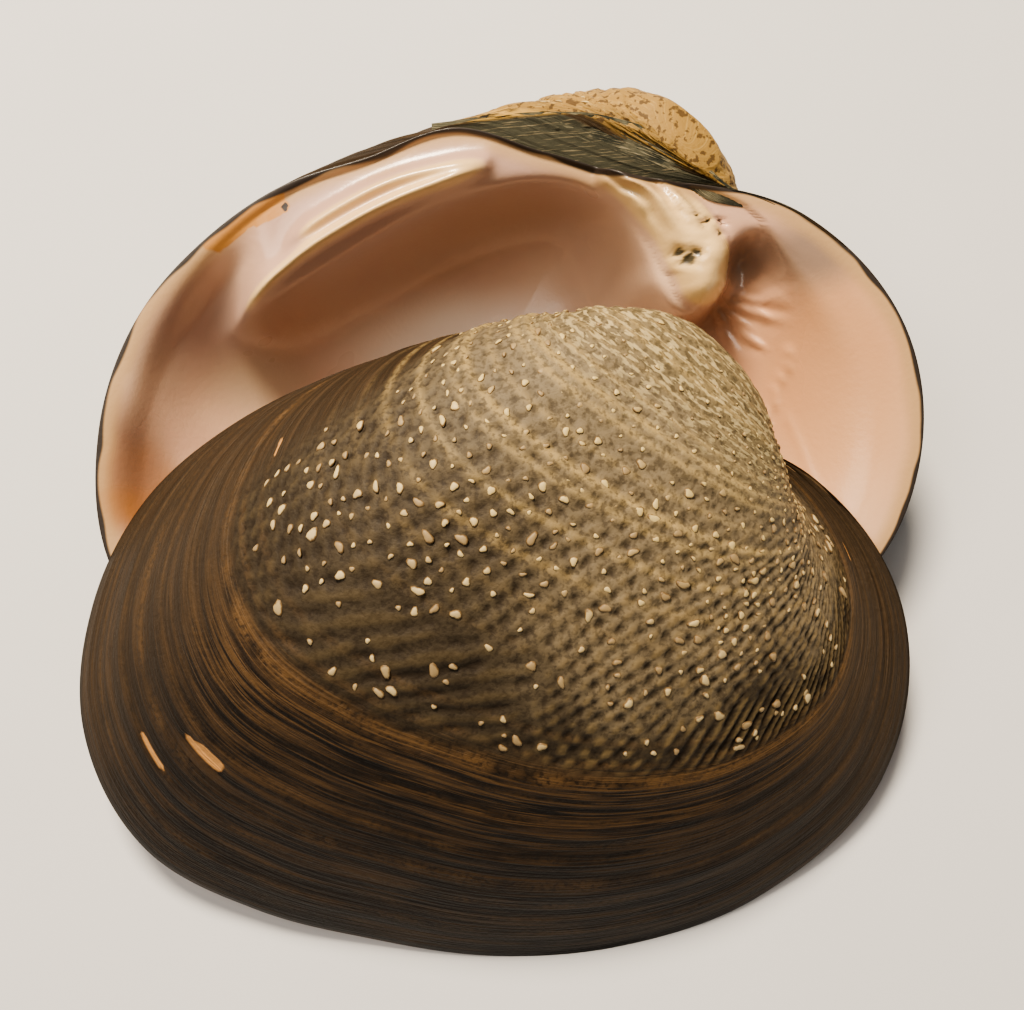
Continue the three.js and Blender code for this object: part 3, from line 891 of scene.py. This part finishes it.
def left_hinge(g, colour):
    """The left valve's hinge side: torn golden layers, tan pitted beak, dark fibres."""
    left, x, y = g.attribute("left"), g.attribute("px"), g.attribute("py")
    grown, streaks = g.attribute("stage"), growth_lines(g, 14.0, 60.0)
    wander = g.times(g.less(streaks, 0.5), 0.30)
    forward = g.plus(g.over(g.plus(x, 30.0), 40.0), wander)
    front = g.ramp(forward, (0.40, 0.0), (0.50, 1.0))
    rear = g.ramp(forward, (0.03, 0.0), (0.16, 1.0))
    old = g.ramp(grown, (0.34, 1.0), (0.46, 0.0))
    upper = g.ramp(g.over(g.plus(y, 4.0), 8.0), (0.44, 0.0), (0.52, 1.0))
    worn = g.times(left, g.math("MAXIMUM", g.times(rear, upper), g.times(front, old)))
    beak = g.mix(g.math("MAXIMUM", front, old), torn_gold(g, x, y), pitted_tan(g, streaks))
    colour = g.mix(worn, colour, beak)
    fibre = g.noise(g.vector(g.times(x, 0.26), g.times(y, 5.2)), 5.0)
    dark = g.mix(g.ramp(fibre, (0.54, 0.0), (0.68, 0.75)), FIBRE_DARK, FIBRE_PALE)
    hinge = g.times(g.ramp(grown, (0.50, 0.0), (0.56, 1.0)), left)
    hinge = g.times(hinge, g.ramp(g.angle_share(), (0.755, 0.0), (0.785, 1.0)))
    hinge = g.times(hinge, g.times(rear, g.less(1.0, upper)))
    return g.mix(hinge, colour, dark)


def zone_colour(g, patches):
    """The knobbly disc: brown low down, olive in the middle, golden at the beak."""
    grown = g.attribute("stage")
    blotch = g.times(g.less(patches, 0.5), 0.35)
    colour = g.ramp(g.plus(grown, blotch), (0.20, ZONE_TAN), (0.38, ZONE_OLIVE), (0.50, ZONE_OLIVE),
                    (0.67, ZONE_BROWN))
    rear = g.ramp(g.angle_share(), (0.48, 1.0), (0.58, 0.0))
    rear = g.times(rear, g.ramp(grown, (0.32, 0.0), (0.52, 0.85)))
    return g.mix(rear, colour, ZONE_BROWN)


def band_colour(g, lines, fine):
    """The dark edge band, with brown lines near the disc and paler ends."""
    turned = g.angle_share()
    band = g.mix(g.ramp(lines, (0.45, 0.0), (0.68, 1.0)), BAND_DARK, BAND_BROWN)
    inner_band = g.times(g.ramp(g.attribute("stage"), (0.70, 0.85), (0.86, 0.0)),
                         g.ramp(turned, (0.39, 0.15), (0.44, 1.0)))
    brown = g.times(g.ramp(fine, (0.48, 0.0), (0.62, 1.0)), inner_band)
    band = g.mix(brown, band, BAND_GOLD)
    ends = g.ramp(turned, (0.38, 0.34), (0.45, 0.0), (0.62, 0.0), (0.70, 0.42))
    return g.mix(ends, band, BAND_ENDS)


def disc_colour(g, grain):
    """The knobbly disc with dark grains, and a painted highlight on its raised ridges."""
    disc = zone_colour(g, g.noise(g.place(60.0), 4.0))
    disc = g.mix(g.ramp(grain, (0.36, 0.5), (0.56, 0.0)), disc, DARK_GRAIN_AND_PIT_SHADE)
    # painted highlight on the raised ridges, stronger towards the front
    ridge_highlight = g.times(g.attribute("ridges"), g.ramp(g.angle_share(), (0.52, 0.12), (0.60, 0.45)))
    return g.mix(ridge_highlight, disc, RIDGE_PAINTED_HIGHLIGHT)


def golden(g, colour, grain):
    """Golden growth lines, and the cream flecks of the worn beak."""
    grown = g.attribute("stage")
    tint = g.mix(g.ramp(grown, (0.42, 1.0), (0.62, 0.0)), BAND_GOLD, GOLD)
    amount = g.times(g.attribute("gold"), g.ramp(grain, (0.34, 0.25), (0.56, 1.0)), True)
    colour = g.mix(amount, colour, tint)
    flecks = g.noise(g.vector(g.times(g.attribute("along"), 0.75), g.times(grown, 190.0)), 2.0)
    worn = g.times(g.ramp(grown, (0.24, 1.0), (0.36, 0.0)),
                   g.ramp(flecks, (0.50, 0.0), (0.60, 1.0)))
    return g.mix(g.times(worn, 0.72), colour, KNOB_CREAM)


def skin_material():
    """Horny outside skin: knobbly olive disc, dark banded edge, worn golden beak."""
    g = Graph("shell_skin")
    zone = g.attribute("zone")
    lines = growth_lines(g, 2.0, 110.0)
    fine = growth_lines(g, 2.6, 330.0, 2.0)
    grain = g.noise(g.place(1500.0), 3.0)
    colour = g.mix(zone, band_colour(g, lines, fine), disc_colour(g, grain))
    # painted shade: the pits of the knobbly disc darkened towards black
    colour = g.mix(g.times(g.attribute("pits"), 0.62, True), colour, DARK_GRAIN_AND_PIT_SHADE)
    colour = left_hinge(g, golden(g, colour, grain))
    chipped = g.ramp(g.attribute("chips"), (0.35, 0.0), (0.75, 1.0))
    g.feed("Base Color", g.mix(chipped, colour, CHIP_TAN))
    rough = g.plus(0.46, g.times(lines, 0.22))
    g.feed("Roughness", g.plus(rough, g.times(zone, 0.06)))
    outside = g.times(fine, g.less(1.0, zone))
    normal = g.bump(grain, 0.00012, g.bump(outside, 0.00022))
    g.feed("Normal", normal)
    g.feed("Specular IOR Level", 0.22)
    return g.material


def knob_material():
    """Worn cream top with ragged brown sides, more golden towards the beak."""
    g = Graph("worn_knob")
    top = g.attribute("top")
    ragged = g.plus(top, g.less(g.noise(g.place(1300.0), 2.0), 0.5))
    cream = g.mix(g.ramp(g.attribute("stage"), (0.36, 0.0), (0.56, 1.0)), KNOB_GOLD, KNOB_CREAM)
    cream = g.mix(g.ramp(g.attribute("tone"), (0.10, 0.0), (0.75, 1.0)), KNOB_DULL, cream)
    colour = g.mix(g.ramp(ragged, (0.45, 0.0), (0.80, 1.0)), KNOB_SIDE, cream)
    g.feed("Base Color", colour)
    g.feed("Roughness", 0.5)
    g.feed("Specular IOR Level", 0.35)
    return g.material


NACRE_PEACH = (0.66, 0.41, 0.29)
NACRE_PALE = (0.74, 0.50, 0.34)
NACRE_MAUVE = (0.44, 0.27, 0.22)
NACRE_FRONT = (0.66, 0.335, 0.150)
NACRE_SHADE = (0.50, 0.38, 0.26)
# painted shade: colour of the shadow below the hinge plate and in the hollow behind the front knob
NACRE_PAINTED_SHADE = (0.22, 0.165, 0.130)
# painted shade for the rear slope of the inside
NACRE_PAINTED_REAR_SHADE = (0.27, 0.145, 0.095)
# painted light: brightens the floor of the hollow, which the hinge plate shades
NACRE_PAINTED_LIGHT = (0.95, 0.80, 0.64)
STRAND_DARK = (0.022, 0.024, 0.013)
STRAND_GREEN = (0.150, 0.138, 0.086)
STRAND_PALE = (0.40, 0.34, 0.21)
TOOTH_WHITE = (0.86, 0.60, 0.275)
SOCKET_GREY = (0.045, 0.042, 0.030)
STAIN_ORANGE = (0.40, 0.16, 0.04)
PATCH_ORANGE = (0.56, 0.27, 0.08)
RIM_TAN = (0.50, 0.31, 0.14)
RIM_DARK = (0.022, 0.013, 0.008)
STAIN_PLACE = (-73, -41, 6, 8, 0.3)    # x, y, reach in x and in y, firm share
# Tinted places of the inside, painted shade and painted light among them: x, y, reach in x and in
# y, firm share, amount, colour
TINTS = [
    (-66, -24, 9, 9, 0.2, 0.30, NACRE_MAUVE),
    # painted shade on the rear slope of the inside
    (-75, -38, 8, 13, 0.3, 0.90, NACRE_PAINTED_REAR_SHADE),
    (-62, -20, 15, 9, 0.2, 0.55, NACRE_MAUVE),
    (6, -33, 8, 11, 0.2, 0.5, NACRE_MAUVE),
    (-56, -29, 10, 8, 0.2, 0.75, NACRE_SHADE),
    # painted light on the floor of the hollow below the hinge
    (-33, -26, 22, 10, 0.2, 0.95, NACRE_PAINTED_LIGHT),
    # painted shade in the hollow behind the front knob
    (10.4, -20.5, 5.0, 4.5, 0.2, 0.60, NACRE_PAINTED_SHADE),
    (19, -38, 17, 28, 0.3, 0.80, NACRE_FRONT),
    # painted shade at the front end of the hinge plate
    (17, -20.5, 10, 7, 0.2, 0.80, NACRE_PAINTED_SHADE),
]


def spot(g, x, y, radius_x, radius_y, inner):
    """A soft round mask about one place of the valve frame."""
    dx = g.over(g.less(g.attribute("px"), x), radius_x)
    dy = g.over(g.less(g.attribute("py"), y), radius_y)
    r = g.math("SQRT", g.plus(g.times(dx, dx), g.times(dy, dy)))
    return g.ramp(r, (inner, 1.0), (1.0, 0.0))


def nacre_colour(g, clouds):
    """Mother of pearl, darker in most tinted places, with painted shade and light among them,
    painted shade below the hinge plate and on it between the teeth, and pale teeth.
    """
    colour = g.mix(g.ramp(clouds, (0.35, 0.0), (0.65, 1.0)), NACRE_PEACH, NACRE_PALE)
    for x, y, reach_x, reach_y, inner, amount, tint in TINTS:
        colour = g.mix(g.times(spot(g, x, y, reach_x, reach_y, inner), amount), colour, tint)
    # painted shadow below the hinge plate
    colour = g.mix(g.times(g.attribute("plate_shadow"), 0.75), colour, NACRE_PAINTED_SHADE)
    # painted shade on the hinge plate between the teeth
    colour = g.mix(g.times(g.attribute("shelf_painted_shade"), 0.7), colour, NACRE_MAUVE)
    return g.mix(g.ramp(g.attribute("teeth"), (0.1, 0.0), (0.8, 0.9)), colour, TOOTH_WHITE)


def nacre_stains(g, colour, clouds, ragged):
    """Tan and dark rim, orange stain, bare patch and tooth pits, over the nacre."""
    colour = g.mix(g.ramp(ragged, (0.12, 0.85), (0.40, 0.0)), colour, RIM_TAN)
    stain = g.times(spot(g, *STAIN_PLACE), g.ramp(clouds, (0.40, 0.2), (0.60, 1.0)))
    colour = g.mix(stain, colour, STAIN_ORANGE)
    patch = g.over(g.attribute("patch"), 2.0)
    colour = g.mix(g.ramp(patch, (0.15, 0.0), (0.40, 1.0)), colour, PATCH_ORANGE)
    colour = g.mix(g.ramp(patch, (0.60, 0.0), (0.85, 1.0)), colour, RIM_DARK)
    colour = g.mix(g.ramp(ragged, (0.05, 1.0), (0.10, 0.0)), colour, RIM_DARK)
    sockets = g.ramp(g.attribute("sockets"), (0.35, 0.0), (0.80, 0.95))
    return g.mix(sockets, colour, SOCKET_GREY)


def nacre_material():
    """Glossy mother of pearl with a dark skin edge, stains and white teeth."""
    g = Graph("shell_nacre")
    clouds = g.noise(g.place(42.0), 3.0)
    pearl = g.noise(g.place(120.0), 1.0)
    grain = g.noise(g.place(1400.0), 2.0)
    wander = g.times(g.less(pearl, 0.5), 1.8)
    ragged = g.over(g.plus(g.attribute("rim"), wander), 8.0)
    colour = nacre_stains(g, nacre_colour(g, clouds), clouds, ragged)
    g.feed("Base Color", colour)
    rough = g.plus(0.20, g.times(clouds, 0.16))
    dull = g.times(g.ramp(ragged, (0.1, 1.0), (0.3, 0.0)), 0.3)
    g.feed("Roughness", g.plus(rough, dull))
    normal = g.bump(grain, 0.00003, g.bump(pearl, 0.00008))
    g.feed("Normal", normal)
    g.feed("Specular IOR Level", 0.6)
    g.feed("Coat Weight", 0.3)
    g.feed("Coat Roughness", 0.14)
    return g.material


def ligament_material():
    """Dry dark green-black fibres with pale strands and a black front tip."""
    g = Graph("ligament_fibre")
    run, across = g.attribute("run"), g.attribute("across")
    strands = g.noise(g.vector(g.times(run, 0.34),
                               g.times(across, 7.0)), 4.0, 0.65)
    patches = g.noise(g.place(300.0), 3.0)
    colour = g.mix(g.ramp(patches, (0.40, 0.0), (0.62, 1.0)), STRAND_DARK, STRAND_GREEN)
    colour = g.mix(g.ramp(strands, (0.52, 0.0), (0.64, 0.80)), colour, STRAND_PALE)
    tip = g.ramp(g.over(run, RUN_END), (0.86, 0.0), (0.94, 0.95))
    colour = g.mix(tip, colour, STRAND_DARK)
    g.feed("Base Color", colour)
    g.feed("Roughness", g.plus(0.42, g.times(patches, 0.25)))
    g.feed("Normal", g.bump(strands, 0.0005))
    return g.material


# ---- studio
CAMERA_AT = (0.666, -47.16, 172.84)    # mm
CAMERA_DOWN = 72.767                   # degrees below the horizon
CAMERA_LENS = 43.95
SENSOR = 36.0
FLOOR_SIZE = 3.0                       # half the floor's side, metres
# Name, place and size in metres, watts, colour
LIGHTS = [
    ("key", (-0.12, 0.30, 0.58), 0.20, 8.6, (1.0, 0.86, 0.67)),
    ("fill", (-0.30, -0.05, 0.65), 0.50, 2.4, (1.0, 0.90, 0.78)),
]
WORLD_COLOUR = (1.0, 0.95, 0.88, 1)
WORLD_STRENGTH = 0.18


def make_camera():
    data = bpy.data.cameras.new("camera")
    data.lens, data.sensor_width = CAMERA_LENS, SENSOR
    data.clip_start = 0.01
    camera = bpy.data.objects.new("camera", data)
    camera.location = Vector(CAMERA_AT) * MM
    camera.rotation_euler = (math.radians(90 - CAMERA_DOWN), 0, 0)
    bpy.context.scene.collection.objects.link(camera)
    bpy.context.scene.camera = camera


def make_light(name, at, size, watts, colour):
    """A round soft light that points at the middle of the table."""
    data = bpy.data.lights.new(name, "AREA")
    data.shape, data.size, data.energy, data.color = "DISK", size, watts, colour
    light = bpy.data.objects.new(name, data)
    light.location = at
    light.rotation_euler = (-Vector(at)).to_track_quat("-Z", "Y").to_euler()
    bpy.context.scene.collection.objects.link(light)


def make_floor():
    g = Graph("floor_paper")
    tone = g.noise(g.place(18.0), 4.0)
    g.feed("Base Color", g.mix(tone, (0.60, 0.60, 0.61), (0.66, 0.66, 0.67)))
    g.feed("Roughness", 0.85)
    mesh = bpy.data.meshes.new("floor")
    corners = [(x * FLOOR_SIZE, y * FLOOR_SIZE, 0) for x, y in ((-1, -1), (1, -1), (1, 1), (-1, 1))]
    mesh.from_pydata(corners, [], [(0, 1, 2, 3)])
    mesh.materials.append(g.material)
    floor = bpy.data.objects.new("floor", mesh)
    bpy.context.scene.collection.objects.link(floor)


def make_studio():
    make_floor()
    for light in LIGHTS:
        make_light(*light)
    world = bpy.data.worlds.new("studio")
    world.use_nodes = True
    world.node_tree.nodes["Background"].inputs[0].default_value = WORLD_COLOUR
    world.node_tree.nodes["Background"].inputs[1].default_value = WORLD_STRENGTH
    bpy.context.scene.world = world


# ---- assembly
bpy.context.scene.view_settings.look = "AgX - Medium High Contrast"
skin, nacre, worn_top = skin_material(), nacre_material(), knob_material()
PIECES = [
    (make_knobs("left_knobs", True, LEFT_POSE, worn_top), "left_valve", "left_shell"),
    (make_knobs("right_knobs", False, RIGHT_POSE, worn_top), "right_valve", "right_shell"),
    (make_valve("left_valve_look", True, LEFT_POSE, [skin, nacre]), "left_valve", "left_shell"),
    (make_valve("right_valve_look", False, RIGHT_POSE, [skin, nacre]), "right_valve",
     "right_shell"),
    (make_ligament(ligament_material()), "ligament", "ligament_strip"),
]
for piece, node, slot in PIECES:
    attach(piece, "root")
    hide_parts(node)

make_studio()
make_camera()
